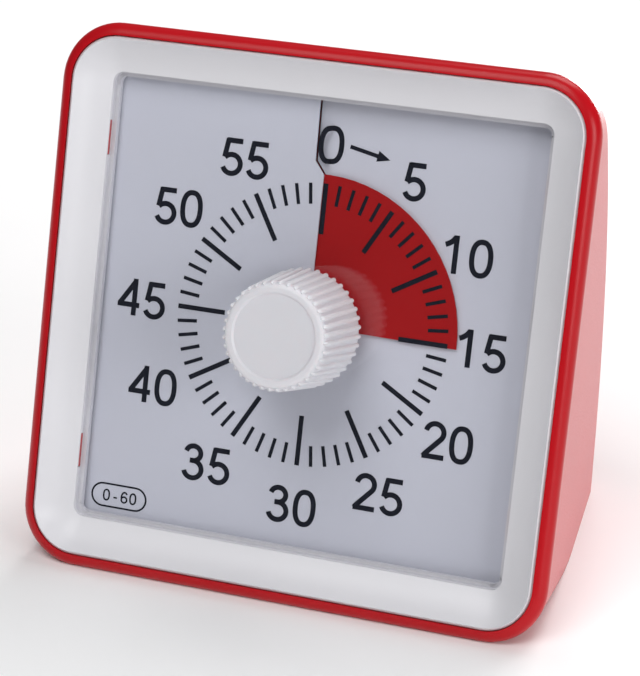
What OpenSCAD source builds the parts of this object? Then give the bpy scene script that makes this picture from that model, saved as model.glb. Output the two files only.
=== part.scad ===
// Visual countdown timer: a red disc comes out of a slit in the dial card and shows the time left.
// Dial pieces are drawn in the dial frame (x right, y up the face, z towards the viewer, zero at
// the front of the card beside the slit) and then leaned back on the case.

/* [Case] */
// Width and height of the red rim round the face
case_w = 84; // [83:1:90]
// Depth from the front of the bezel to the back of the case
case_depth = 55.4; // [53:0.5:60]
// Corner radius of the red rim
corner_r = 9.1; // [8:0.1:10]
// Angle that the face leans back from upright
lean = 18; // [15:0.5:21]
// Wall thickness of the rear shell
case_wall = 2.2; // [1.8:0.1:2.4]
// Draft of the case's sides towards the back
draft = 6.3; // [4:0.1:7]
// Radius between the sides and the back
back_edge_r = 6; // [4:0.5:8]

/* [Bezel and window] */
// Width of the red rim beside the bezel
rim_w = 2; // [1.9:0.1:2.2]
// Height of the bezel's outer edge above the card
bezel_h = 6; // [5.5:0.1:7]
// Width of the bezel's frame from its outer edge to its lip
frame_w = 5.4; // [5.2:0.1:6.2]
// Height of the lip above the card
lip_h = 2.5; // [2.4:0.1:3]
// Hollow of the dished front of the bezel
dish_depth = 0.45; // [0.2:0.05:0.7]
// Thickness of the clear window
window_t = 1; // [0.8:0.05:1.05]

/* [Dial and disc] */
// Radius of the red disc
disc_r = 22.9; // [20:0.1:26]
// Thickness of the disc and of the card
sheet_t = 0.3; // [0.2:0.02:0.32]
// Height that card and disc climb in one turn
climb = 1.2; // [1.1:0.02:1.24]
// Minutes set on the dial at rest
minutes_set = 15; // [5:1:55]

/* [Knob] */
// Radius of the knob at its foot, over the ribs
knob_foot_r = 9.1; // [8:0.1:10]
// Radius of the knob at its face, over the ribs
knob_face_r = 8.1; // [7.6:0.1:9]
// Height of the knob's face above the card
knob_top = 16.3; // [14:0.1:18]
// Number of ribs round the knob
knob_ribs = 40; // [30:1:44]

/* [Battery and door] */
// Diameter of the battery
cell_d = 14.5; // [14:0.1:14.5]
// Length of the battery over its cap
cell_l = 50.5; // [48:0.5:51]
// Width of the battery door
door_w = 57; // [56:0.2:58]

/* [Hidden] */
$fn = 64;
far = 200;
gap = 0.3;
run_gap = 0.05;

// Case outline
case_h = case_w / 2;
rim_r = rim_w;
bezel_w = case_w - 2 * rim_w;
opening_w = bezel_w - 2 * frame_w;
rim_z = bezel_h - rim_r;
ax = case_h - corner_r;
slope = tan(draft);
edge_fit = 18;
edge_lift = 0.05;
edge_over = 0.1;
edge_leave = draft + 4;
ledge_z = 2;
bezel_gap = 0.1;
rim_foot = 0.2;
dial_z = case_h * cos(lean) - rim_z * sin(lean) - rim_foot;
bezel_edge = 0.4;
front_y = -(case_h - rim_r) * sin(lean) - rim_z * cos(lean) - rim_r;
back_y = front_y + case_depth;
dial_y = -(front_y + back_y) / 2;

// Curve of the back: upright near the foot, meeting the rim at the top
back_low = 3.6 - dial_z;
top_z = 2;
top_wy = case_h * sin(lean) - top_z * cos(lean);
top_wz = case_h * cos(lean) + top_z * sin(lean);
run_y = back_y - top_wy;
rise_z = top_wz - back_low;
back_r = (run_y * run_y + rise_z * rise_z) / (2 * run_y);
back_cy = back_y - back_r;
arc_y = back_cy * sin(lean) + back_low * cos(lean);
arc_z = back_low * sin(lean) - back_cy * cos(lean);
arc_wy = dial_y + back_cy;
arc_wz = dial_z + back_low;

// Bezel section, as distances from the middle of the face and heights above the card
bezel_s = bezel_w / 2;
lip_s = opening_w / 2;
shelf_s = lip_s - 0.1;
shelf_z = 1.2;
wall_s = lip_s - 0.7;
wall_z = 0.2;
under_s = wall_s + 1.5;
under_z = 1;
tongue_out = bezel_s - 1.1;
tongue_in = tongue_out - 1.3;
tongue_z = -1.5;
tongue_top = ax - 1.4;
slot_l = 5.4;
slot_w = 0.45;
slot_s = lip_s + 0.18;
tab_gap = 0.05;
hook_low = shelf_z + 0.15;
hook_top = lip_h - 0.4;
hook_h = hook_top - hook_low + 2 * tab_gap;
slot_y = lip_s - 10.2;

// Sheets of the dial
card_s = wall_s + 0.7;
card_hole = 6.5;
lift = gap;
slit_x = -0.36;
slit_r = disc_r - 0.1;
slit_out = 1.55;
slit_step = 2;
disc_lead = 0.8;
hub_r = 4.6;
hub_z0 = -1.95;
hub_z1 = -0.2;
step_card = 7.5;
step_disc = 5;

// Tray behind the card
tray_z = -3;
tray_t = 1.5;
tray_back = tray_z - tray_t;
tray_out = tongue_in - 0.4;
tray_in = tray_out - 1.2;
tray_top = ax - 0.7;
tray_low = (case_wall + gap - dial_z - tray_back * sin(lean)) / cos(lean);
tray_rim = 1.2;
tray_corner = tray_out - ax;
post_r = 0.9;
post_s = card_s - 1.3;
boss_x = tray_out - 4.7;
boss_low = -12;
boss_high = ax - 10.9;
boss_r = 3.1;
boss_z = -9;

// Knob
knob_foot = 3.1;
knob_edge = 0.7;
knob_rib_h = 0.38;
knob_socket = 3.6;
knob_shaft_top = 12.5;

// Case screws
tower_r = 4;
tower_bore = 2.9;
screw_r = 1.4;
screw_head = 2.6;
floor_t = 1.8;

// Movement
move_l = -26;
move_r = 27.6;
move_low = -26.4;
move_high = 14.6;
move_wall = 1.2;
move_plate = 1.5;
move_front_z = tray_back;
move_join = -14.8;
move_back = -17.2;
arbor_r = 0.6;
arbor_front = tray_back - 0.3;
arbor_rear = move_back + 0.4;
first_m = 0.4;
third_m = 0.3;
fourth_m = 0.35;
fast_m = 0.3;
wheel_n = 60;
slow_n = 50;
pinion_n = 10;
rotor_n = 6;
d_first = first_m * (wheel_n + pinion_n) / 2;
d_third = third_m * (wheel_n + pinion_n) / 2;
d_fourth = fourth_m * (slow_n + pinion_n) / 2;
d_fast = fast_m * (wheel_n + rotor_n) / 2;
a_third = 225;
a_fourth = -20;
a_inter = -8;
a_rotor = 70;
third = d_first * [cos(a_third), sin(a_third)];
fourth = third + d_third * [cos(a_fourth), sin(a_fourth)];
inter = fourth + d_fourth * [cos(a_inter), sin(a_inter)];
rotor_at = inter + d_fast * [cos(a_rotor), sin(a_rotor)];
z_centre = -8;
z_third = -10;
z_fourth = -12;
z_inter = -13.8;
wheel_t = 0.8;
shaft_r = 3;
shaft_low = 2;
pivot_r = 1.5;

// Coil and stator
coil_x = 19;
coil_y = 8;
coil_z = -10.4;
coil_l = 8.4;
coil_r = 3;
stator_t = 1;
magnet_r = 3;
stator_arm = 2.4;
stator_l = coil_x - coil_l / 2 - stator_arm;
stator_r = coil_x + coil_l / 2 + stator_arm;

// Board and leads
board_z = -14.6;
board_t = 0.8;
lead_in_x = -20;
lead_in_y = 8;
lead_r = 0.6;
lead_n = 8;
lead_side = [0.3, 1, 0.2];
tab_up = 2.2;

// Battery and its door, in the upright frame
cell_r = cell_d / 2;
cell_z = 17;
cell_y = arc_wy + back_r - 10.6;
bay_gap = 0.6;
bay_wall = 1.6;
bay_in = cell_r + bay_gap;
bay_end = cell_l / 2 + 2;
door_t = 1.4;
door_axis_z = 7.6;
door_top = 27.2;
hinge_in = 1.8;
door_axis_a = asin((door_axis_z - arc_wz) / (back_r - hinge_in));
door_axis_y = arc_wy + (back_r - hinge_in) * cos(door_axis_a);
door_pin = 0.8;
door_gap = 0.25;

// Sounder and switch on the back
sound_x = -17;
sound_a = 17;
sound_r = 9;
switch_x = 20;
switch_a = 17;
switch_slot = 8;
switch_h = 3;

module on_face() {
    translate([0, dial_y, dial_z])
        rotate([90 - lean, 0, 0])
            children();
}

module on_back(x, a) {
    translate([x, arc_wy, arc_wz])
        rotate([a - 90, 0, 0])
            translate([0, 0, back_r])
                children();
}

module rounded(s, r) {
    intersection() {
        square(2 * s, center = true);
        union() {
            square([2 * s, 2 * (s - r)], center = true);
            square([2 * (s - r), 2 * s], center = true);
            for (x = [-1, 1])
                for (y = [-1, 1])
                    translate([x * (s - r), y * (s - r)])
                        circle(r);
        }
    }
}

// Carries a section, drawn as distance from the face's middle and height, round the square
module swept_round() {
    for (q = [0 : 3])
        rotate([0, 0, 90 * q]) {
            translate([0, ax, 0])
                rotate([90, 0, 0])
                    linear_extrude(2 * ax)
                        children();
            translate([ax, ax, 0])
                rotate_extrude(angle = 90)
                    translate([-ax, 0])
                        children();
        }
}

// The case's tapered sides below the rim, at a depth below the outer surface
module tapered_sides(d) {
    deep = 60;
    r_top = corner_r - d / cos(draft);
    r_low = r_top - deep * slope;
    translate([0, 0, rim_z - deep]) {
        for (x = [-1, 1])
            for (y = [-1, 1])
                translate([x * ax, y * ax, 0])
                    cylinder(h = deep, r1 = r_low, r2 = r_top);
        for (q = [0, 90])
            rotate([90, 0, q])
                translate([0, 0, -ax])
                    linear_extrude(2 * ax)
                        polygon([[-ax - r_low, 0], [ax + r_low, 0],
                            [ax + r_top, deep], [-ax - r_top, deep]]);
    }
}

// Everything in front of the curved back, with the edge to one tapered side rounded.
// The edge is turned about an axis square to that side, and its round runs out into a cone
// that stays clear of the straight back. The two meet almost smoothly at the angle edge_fit.
module back_edge(d) {
    r = back_edge_r;
    out_r = back_r - d + edge_lift;
    side = (case_h - rim_z * slope) * cos(draft) - d;
    mid = side - r + edge_over;
    centre = back_r * cos(edge_fit) * tan(draft / 2) - r * sin(draft)
        + r * (1 - cos(draft)) / (slope * cos(edge_fit));
    x0 = (mid - centre + arc_z * sin(draft)) / cos(draft);
    leave = centre + r * sin(edge_leave);
    leave_r = out_r - r * (1 - cos(edge_leave));
    long = 2 * case_w;
    translate([x0, arc_y, arc_z])
        rotate([0, 90 + draft, 0])
            rotate_extrude($fn = 128)
                intersection() {
                    polygon([[0, -long], [leave_r + tan(edge_leave) * (leave + long), -long],
                        [leave_r, leave], [out_r, centre + r], [0, centre + r]]);
                    union() {
                        square([out_r - r, centre + r]);
                        translate([0, -long])
                            square([3 * out_r, long + leave]);
                        translate([out_r - r, centre])
                            circle(r);
                    }
                }
}

module curved_back(d) {
    translate([0, arc_y, arc_z])
        rotate([0, 90, 0])
            cylinder(h = 2 * case_w, r = back_r - d, center = true, $fn = 128);
}

module above_base(d) {
    translate([-far / 2, -far / 2, d])
        cube([far, far, far]);
}

// The housing's outer form behind the rim, or the same form shrunk by d
module case_form(d) {
    intersection() {
        on_face()
            intersection() {
                tapered_sides(d);
                back_edge(d);
                mirror([1, 0, 0])
                    back_edge(d);
                curved_back(d);
            }
        above_base(d);
    }
}

// Quarter-round rim in front of the tapered sides
module rim_form() {
    intersection() {
        on_face()
            translate([0, 0, rim_z - 0.02]) {
                linear_extrude(rim_r)
                    rounded(bezel_s, bezel_s - ax);
                swept_round()
                    intersection() {
                        translate([case_h - rim_r, 0])
                            circle(rim_r);
                        square(far);
                    }
            }
        above_base(0);
    }
}

module tower(x, y) {
    on_face()
        translate([x, y, -50])
            cylinder(h = 50 + boss_z - gap / 2, r = tower_r);
}

module tower_bore(x, y) {
    on_face()
        translate([x, y, -60])
            cylinder(h = 60 + boss_z - gap / 2 - floor_t, r = tower_bore);
    on_face()
        translate([x, y, -60])
            cylinder(h = 60, r = screw_r + 0.15);
}

module at_bosses() {
    for (x = [-boss_x, boss_x])
        for (y = [boss_low, boss_high])
            translate([x, y, 0])
                children();
}

module bay(extra, deep) {
    translate([-bay_end - extra, cell_y - bay_in - extra, cell_z - bay_in - extra])
        cube([2 * (bay_end + extra), bay_in + extra + deep, 2 * (bay_in + extra)]);
}

module door_hinge(r, half) {
    translate([-half, door_axis_y, door_axis_z])
        rotate([0, 90, 0])
            cylinder(h = 2 * half, r = r);
}

module door_patch(deep, more, over = 0) {
    intersection() {
        difference() {
            on_face()
                curved_back(-over);
            on_face()
                curved_back(deep);
        }
        translate([-door_w / 2 - more, door_axis_y - 20, door_axis_z])
            cube([door_w + 2 * more, 40, door_top - door_axis_z + more]);
    }
}

module rear_shell() {
    color("red")
        difference() {
            union() {
                difference() {
                    union() {
                        case_form(0);
                        rim_form();
                    }
                    case_form(case_wall);
                }
                intersection() {
                    case_form(case_wall / 2);
                    union() {
                        bay(bay_wall, 20);
                        door_hinge(3.6, door_w / 2 + 3.4);
                        for (x = [-boss_x, boss_x])
                            for (y = [boss_low, boss_high])
                                tower(x, y);
                        on_back(sound_x, sound_a)
                            translate([0, 0, -case_wall - 2.4])
                                cylinder(h = 4, r = sound_r + 1.5);
                        on_back(switch_x, switch_a)
                            translate([-7, -4, -case_wall - 2.6])
                                cube([14, 8, 4]);
                    }
                }
            }
            // opening for the bezel
            on_face()
                translate([0, 0, ledge_z])
                    linear_extrude(20)
                        rounded(bezel_s + bezel_gap, bezel_s + bezel_gap - ax);
            on_face()
                translate([0, 0, ledge_z - 1])
                    linear_extrude(20)
                        rounded(tongue_out + 0.35, tongue_out + 0.35 - ax);
            // screw towers
            for (x = [-boss_x, boss_x])
                for (y = [boss_low, boss_high])
                    tower_bore(x, y);
            // battery bay and the seat of its door
            bay(0, 40);
            door_patch(door_t + 0.2, door_gap, 1);
            door_hinge(hinge_in + door_gap, door_w / 2 + door_gap);
            door_hinge(door_pin + run_gap, door_w / 2 + 2);
            translate([-door_w / 2 - door_gap, door_axis_y, door_axis_z - hinge_in - door_gap])
                cube([door_w + 2 * door_gap, 20, hinge_in + door_gap]);
            // slots in the bay's roof for the contacts' tabs
            for (side = [-1, 1])
                translate([side * (bay_end - 0.25) - 0.4, cell_y - 4.8, cell_z])
                    cube([0.8, 3.6, bay_in + bay_wall + 1]);
            // sounder seat and its slits
            on_back(sound_x, sound_a)
                translate([0, 0, -case_wall - 10])
                    cylinder(h = 10, r = sound_r + 0.1);
            on_back(sound_x, sound_a)
                for (i = [-2 : 2])
                    translate([0, 2.6 * i, 0])
                        cube([13 - 2 * abs(i), 1.2, 12], center = true);
            // switch seat and its slot
            on_back(switch_x, switch_a)
                translate([-6, -3, -case_wall - 10])
                    cube([12, 6, 10]);
            on_back(switch_x, switch_a)
                cube([switch_slot, switch_h, 12], center = true);
        }
}

// Bezel section: dished front, shelf for the window, wall down to the card, locating tongue
module bezel_section(dish = true) {
    p1 = [bezel_s - bezel_edge, bezel_h];
    p2 = [lip_s, lip_h];
    chord = norm(p1 - p2);
    r = (chord * chord / 4 + dish_depth * dish_depth) / (2 * dish_depth);
    dir = (p1 - p2) / chord;
    mid = (p1 + p2) / 2 + (r - dish_depth) * [-dir[1], dir[0]];
    difference() {
        polygon([[bezel_s, ledge_z], [bezel_s, bezel_h - bezel_edge], p1, p2,
            [lip_s, shelf_z], [wall_s, shelf_z], [wall_s, wall_z], [under_s, wall_z],
            [under_s, under_z], [tongue_in, lip_h + 0.4], [tongue_in, tongue_z],
            [tongue_out, tongue_z], [tongue_out, ledge_z]]);
        translate(mid)
            circle(r, $fn = 128);
    }
}

module front_bezel() {
    color("whitesmoke")
        on_face()
            difference() {
                swept_round()
                    bezel_section();
                // no tongue along the top, where the back curves in, or along the foot
                translate([-far / 2, tongue_top, tongue_z - 1])
                    cube([far, far, 1 - tongue_z + wall_z]);
                for (y = [under_s + 0.05, -far - under_s - 1.1])
                    translate([-far / 2, y, tongue_z - 1])
                        cube([far, far, ledge_z - tongue_z + 0.15]);
                // slots for the tray's snap tabs, which open in the lip's inner wall
                for (q = [0, 1])
                    for (y = [-1, 1])
                        mirror([q, 0, 0])
                            translate([0, y * slot_y - slot_l / 2, 0]) {
                                translate([slot_s, 0, hook_top + tab_gap - 10])
                                    cube([slot_w, slot_l, 10]);
                                translate([lip_s - 0.2, 0, hook_low - tab_gap])
                                    cube([slot_s + slot_w - lip_s + 0.2, slot_l, hook_h]);
                            }
            }
}

module window() {
    color("lightcyan", 0.35)
        on_face()
            translate([0, 0, shelf_z])
                difference() {
                    linear_extrude(window_t)
                        rounded(shelf_s - 0.15, shelf_s - 0.15 - ax);
                    translate([0, 0, -1])
                        cylinder(h = 4, r = 5.5);
                }
}

// Height of a sheet that climbs one step per turn, at the clock angle a
function climb_z(a) = -climb * (1 - a / 360);

// Distance from the middle to the edge of a square of half width s along the clock angle a
function square_edge(a, s) = s / max(abs(sin(a)), abs(cos(a)));

// One edge of the slit: straight up past the disc, a step aside, then up to the top
function slit_edge(top, z) = [
    [slit_x, card_hole, z],
    [slit_x, slit_r, z],
    [slit_x - slit_out, slit_r + slit_step, z],
    [slit_x - slit_out - 0.2, top, z]];

function card_ray(a, z) = (a == 0 || a == 360) ? slit_edge(card_s, z) : [
    for (r = [card_hole, slit_r, slit_r + slit_step, square_edge(a, card_s)])
        [r * sin(a), r * cos(a), z]];

function disc_ray(a, z) = [for (r = [hub_r + 0.03, disc_r]) [r * sin(a), r * cos(a), z]];

// Closes rays of k points, top rays first and bottom rays after, into one sheet
module ray_sheet(tops, lows, k) {
    n = len(tops);
    pts = concat([for (ray = tops) each ray], [for (ray = lows) each ray]);
    b = n * k;
    upper = [for (i = [0 : n - 2]) for (j = [0 : k - 2]) each [
        [i * k + j, i * k + j + 1, (i + 1) * k + j + 1],
        [i * k + j, (i + 1) * k + j + 1, (i + 1) * k + j]]];
    lower = [for (f = upper) [b + f[0], b + f[2], b + f[1]]];
    inner = [for (i = [0 : n - 2]) each [
        [i * k, (i + 1) * k, b + (i + 1) * k],
        [i * k, b + (i + 1) * k, b + i * k]]];
    outer = [for (i = [0 : n - 2]) each [
        [i * k + k - 1, b + (i + 1) * k + k - 1, (i + 1) * k + k - 1],
        [i * k + k - 1, b + i * k + k - 1, b + (i + 1) * k + k - 1]]];
    last = (n - 1) * k;
    ends = [for (j = [0 : k - 2]) each [
        [j, b + j, b + j + 1],
        [j, b + j + 1, j + 1],
        [last + j, b + last + j + 1, b + last + j],
        [last + j, last + j + 1, b + last + j + 1]]];
    polyhedron(pts, [for (f = concat(upper, lower, inner, outer, ends)) [f[0], f[2], f[1]]],
        convexity = 6);
}

module dial_card() {
    angles = [for (a = [0 : step_card : 360]) a];
    color("lightsteelblue")
        on_face()
            ray_sheet([for (a = angles) card_ray(a, climb_z(a))],
                [for (a = angles) card_ray(a, climb_z(a) - sheet_t)], 4);
}

module time_disc() {
    lead = 6 * minutes_set + disc_lead;
    angles = [for (a = [0 : step_disc : 355]) lead - 355 + a];
    color("crimson")
        on_face()
            ray_sheet([for (a = angles) disc_ray(a, climb_z(a) + lift + sheet_t)],
                [for (a = angles) disc_ray(a, climb_z(a) + lift)], 2);
}

module disc_hub() {
    travel = climb * (minutes_set / 60 - 0.25);
    color("white")
        on_face()
            translate([0, 0, hub_z0 + travel])
                difference() {
                    cylinder(h = hub_z1 - hub_z0, r = hub_r);
                    translate([0, 0, -1])
                        cylinder(h = 6, r = shaft_r + run_gap);
                }
}

module dial_tray() {
    color("firebrick")
        on_face() {
            difference() {
                union() {
                    translate([0, 0, tray_back])
                        linear_extrude(tray_t)
                            tray_outline(tray_out);
                    translate([0, 0, tray_back])
                        linear_extrude(tray_rim - tray_back)
                            difference() {
                                tray_outline(tray_out);
                                translate([-tray_in, -far / 2])
                                    square([2 * tray_in, far]);
                                translate([-far / 2, ax - 3])
                                    square(far);
                            }
                    at_bosses()
                        translate([0, 0, boss_z])
                            cylinder(h = tray_back - boss_z + 0.5, r = boss_r);
                    translate([0, 0, tray_back])
                        cylinder(h = tray_t + 0.6, r = shaft_r + 2.2);
                }
                translate([0, 0, tray_back - 1])
                    cylinder(h = 8, r = shaft_r + run_gap);
                at_bosses()
                    translate([0, 0, boss_z - 1])
                        cylinder(h = 6.4, r = screw_r - 0.1);
                at_move_screws()
                    translate([0, 0, tray_back - 1])
                        cylinder(h = 2.1, r = 0.8);
            }
            // posts under the card, each as high as the card is there
            for (p = [[post_s, 0], [post_s, -post_s], [0, -post_s], [-post_s, -post_s],
                [-post_s, 0], [-post_s, 20], [post_s, 20], [-12, tray_top - 1.2],
                [12, tray_top - 1.2], [-28, tray_top - 1.2], [28, tray_top - 1.2]]) {
                a = (atan2(p[0], p[1]) + 360) % 360;
                high = climb_z(a) - sheet_t - climb * 2 / 360 - 0.05;
                translate([p[0], p[1], tray_z - 0.1])
                    cylinder(h = high - tray_z + 0.1, r = post_r, $fn = 32);
            }
            // snap tabs that reach up into the bezel's slots
            for (x = [-1, 1])
                for (y = [-1, 1])
                    snap_tab(x, y);
        }
}

module tray_outline(s) {
    intersection() {
        rounded(s, tray_corner);
        translate([-far / 2, tray_low])
            square([far, tray_top - tray_low]);
    }
}

// A tab's foot reaches in below the card and its thin blade stands in the bezel's slot
module snap_tab(x, y) {
    s0 = slot_s + tab_gap;
    s1 = slot_s + slot_w - tab_gap;
    head = lip_s + tab_gap;
    mirror([x < 0 ? 1 : 0, 0, 0])
        translate([0, y * slot_y + slot_l / 2 - 0.1, 0])
            rotate([90, 0, 0])
                linear_extrude(slot_l - 0.2)
                    polygon([[s0, tray_z - 0.2], [tray_in + 0.2, tray_z - 0.2],
                        [tray_in + 0.2, tray_z + 1.2], [s1, tray_z + 1.2], [s1, hook_top],
                        [head, hook_top], [head, hook_low], [s0, hook_low]]);
}

module knob() {
    lean_in = atan((knob_foot_r - knob_face_r) / (knob_top - knob_foot));
    foot = knob_foot_r - knob_rib_h;
    top = knob_face_r - knob_rib_h;
    color("white")
        on_face()
            difference() {
                union() {
                    rotate_extrude($fn = 96)
                        union() {
                            polygon([[0, knob_foot], [foot, knob_foot],
                                [top + 0.05, knob_top - knob_edge],
                                [top - knob_edge, knob_top], [top - knob_edge - 0.5, knob_top],
                                [top - knob_edge - 0.8, knob_top - 0.25], [0, knob_top - 0.25]]);
                            translate([top - knob_edge, knob_top - knob_edge])
                                circle(knob_edge);
                        }
                    for (i = [0 : knob_ribs - 1])
                        rotate([0, 0, i * 360 / knob_ribs])
                            translate([foot, 0, knob_foot])
                                rotate([0, -lean_in, 0])
                                    union() {
                                        cylinder(h = knob_top - knob_foot - knob_edge,
                                            r = knob_rib_h, $fn = 20);
                                        translate([0, 0, knob_top - knob_foot - knob_edge])
                                            cylinder(h = knob_edge * 0.8, r1 = knob_rib_h,
                                                r2 = knob_rib_h / 4, $fn = 20);
                                    }
                }
                // hollow underside round the socket
                rotate_extrude($fn = 96)
                    polygon([[knob_socket, knob_foot - 1], [foot - 1.3, knob_foot - 1],
                        [top - 1.5, knob_top - 2.4], [knob_socket, knob_top - 2.4]]);
                translate([0, 0, knob_foot - 1])
                    cylinder(h = knob_shaft_top - knob_foot + 1.1, r = shaft_low + 0.02);
            }
}
module spindle() {
    color("silver")
        on_face()
            rotate_extrude()
                polygon([[0, arbor_rear], [pivot_r, arbor_rear],
                    [pivot_r, move_back + move_plate + 0.2], [shaft_low, move_back + move_plate + 0.2],
                    [shaft_low, z_centre - 1.5], [shaft_low - 0.3, z_centre - 1.5],
                    [shaft_low - 0.3, z_centre - 1], [shaft_low, z_centre - 1],
                    [shaft_low, -6.2], [shaft_r, -6.2], [shaft_r, 1.9],
                    [shaft_low, 2.4], [shaft_low, knob_shaft_top], [0, knob_shaft_top]]);
}

// Gear outline with slim clock teeth; the first tooth points along x
module gear_outline(n, m, add, ded) {
    tip = m * (n / 2 + add);
    root = m * (n / 2 - ded);
    pitch = 360 / n;
    polygon([for (i = [0 : n - 1]) each [
        for (k = [[-0.3, root], [-0.19, m * n / 2], [-0.08, tip], [0.08, tip],
            [0.19, m * n / 2], [0.3, root]])
            k[1] * [cos((i + k[0]) * pitch), sin((i + k[0]) * pitch)]]]);
}

module wheel(n, m, z, turn, spokes, hub) {
    rim = m * (n / 2 - 1.1) - 1.2;
    inner = hub + 0.4;
    translate([0, 0, z])
        rotate([0, 0, turn])
            linear_extrude(wheel_t)
                difference() {
                    gear_outline(n, m, 0.8, 1.1);
                    for (i = [0 : spokes - 1])
                        rotate([0, 0, (i + 0.5) * 360 / spokes])
                            translate([(rim + inner) / 2, 0])
                                circle((rim - inner) / 2);
                }
}

module pinion(n, m, z, h, turn) {
    translate([0, 0, z])
        rotate([0, 0, turn])
            linear_extrude(h)
                gear_outline(n, m, 0.75, 1.1);
}

module arbor(front, rear) {
    translate([0, 0, rear])
        cylinder(h = front - rear, r = arbor_r, $fn = 32);
}

module centre_wheel() {
    color("gold")
        on_face()
            difference() {
                union() {
                    wheel(wheel_n, first_m, z_centre, a_third, 4, 3.6);
                    translate([0, 0, z_centre])
                        cylinder(h = 1.6, r = 3.6);
                }
                translate([0, 0, z_centre - 1])
                    cylinder(h = 4, r = shaft_low + 0.02);
            }
}

module clutch_washer() {
    color("goldenrod")
        on_face()
            translate([0, 0, z_centre - 0.9])
                difference() {
                    union() {
                        cylinder(h = 0.3, r = 2.7);
                        for (i = [0 : 2])
                            rotate([0, 0, 120 * i])
                                translate([2, -0.8, 0])
                                    cube([2.6, 1.6, 0.3]);
                        for (i = [0 : 2])
                            rotate([0, 0, 120 * i])
                                translate([3.8, -0.8, 0])
                                    cube([0.8, 1.6, 0.85]);
                    }
                    translate([0, 0, -1])
                        cylinder(h = 3, r = shaft_low + 0.05);
                }
}

module retaining_clip() {
    color("dimgray")
        on_face()
            translate([0, 0, z_centre - 1.45])
                difference() {
                    cylinder(h = 0.4, r = 3.4);
                    translate([0, 0, -1])
                        cylinder(h = 3, r = shaft_low - 0.25);
                    translate([0, -1.2, -1])
                        cube([6, 2.4, 3]);
                }
}

module third_wheel() {
    color("gold")
        on_face()
            translate([third[0], third[1], 0]) {
                wheel(wheel_n, third_m, z_third, a_fourth, 4, 2);
                pinion(pinion_n, first_m, z_centre - 0.4, 1.6, a_third + 180 + 180 / pinion_n);
                translate([0, 0, z_third])
                    cylinder(h = z_centre - z_third, r = 1.3);
                arbor(arbor_front, arbor_rear);
            }
}

module fourth_wheel() {
    color("gold")
        on_face()
            translate([fourth[0], fourth[1], 0]) {
                wheel(slow_n, fourth_m, z_fourth, a_inter, 4, 2);
                pinion(pinion_n, third_m, z_third - 0.4, 1.6, a_fourth + 180 + 180 / pinion_n);
                translate([0, 0, z_fourth])
                    cylinder(h = z_third - z_fourth, r = 1.3);
                arbor(arbor_front, arbor_rear);
            }
}

module intermediate_wheel() {
    color("ivory")
        on_face()
            translate([inter[0], inter[1], 0]) {
                wheel(wheel_n, fast_m, z_inter, a_rotor, 4, 2);
                pinion(pinion_n, fourth_m, z_fourth - 0.4, 1.6, a_inter + 180 + 180 / pinion_n);
                translate([0, 0, z_inter])
                    cylinder(h = z_fourth - z_inter, r = 1.2);
                arbor(arbor_front, arbor_rear);
            }
}

module rotor() {
    color("darkslategray")
        on_face()
            translate([rotor_at[0], rotor_at[1], 0]) {
                pinion(rotor_n, fast_m, z_inter - 0.4, 1.6, a_rotor + 180 + 180 / rotor_n);
                translate([0, 0, coil_z - 1.4])
                    cylinder(h = 2.8, r = magnet_r);
                arbor(arbor_front, arbor_rear);
            }
}

module stator() {
    color("slategray")
        on_face()
            translate([0, 0, coil_z - stator_t / 2])
                linear_extrude(stator_t)
                    difference() {
                        union() {
                            translate(rotor_at)
                                circle(6);
                            for (x = [stator_l, stator_r - stator_arm])
                                translate([x, rotor_at[1]])
                                    square([stator_arm, coil_y - rotor_at[1] + 1]);
                            translate([stator_l, coil_y - 1])
                                square([stator_r - stator_l, 2]);
                            translate([stator_l, rotor_at[1] - 2])
                                square([stator_r - stator_l, 4]);
                        }
                        translate(rotor_at)
                            circle(magnet_r + 0.45);
                    }
}

module along_coil() {
    translate([coil_x, coil_y, coil_z])
        rotate([0, 90, 0])
            children();
}

module coil_bobbin() {
    color("darkgreen")
        on_face()
            along_coil()
                difference() {
                    union() {
                        cylinder(h = coil_l, r = 1.9, center = true);
                        for (s = [-1, 1])
                            translate([0, 0, s * (coil_l / 2 - 0.3)])
                                cylinder(h = 0.6, r = coil_r + 0.4, center = true);
                    }
                    cube([stator_t + 0.1, 2.1, far], center = true);
                }
}

module coil_winding() {
    color("orange")
        on_face()
            along_coil()
                difference() {
                    cylinder(h = coil_l - 1.3, r = coil_r, center = true);
                    cylinder(h = far, r = 1.95, center = true);
                }
}

module move_outline(inset) {
    translate([move_l + inset, move_low + inset])
        square([move_r - move_l - 2 * inset, move_high - move_low - 2 * inset]);
}

module at_move_screws() {
    for (p = [[move_l + 3, move_low + 3], [move_r - 3, move_low + 3], [move_l + 3, move_high - 3]])
        translate([p[0], p[1], 0])
            children();
}

module at_arbors() {
    for (p = [third, fourth, inter, rotor_at])
        translate([p[0], p[1], 0])
            children();
}

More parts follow.
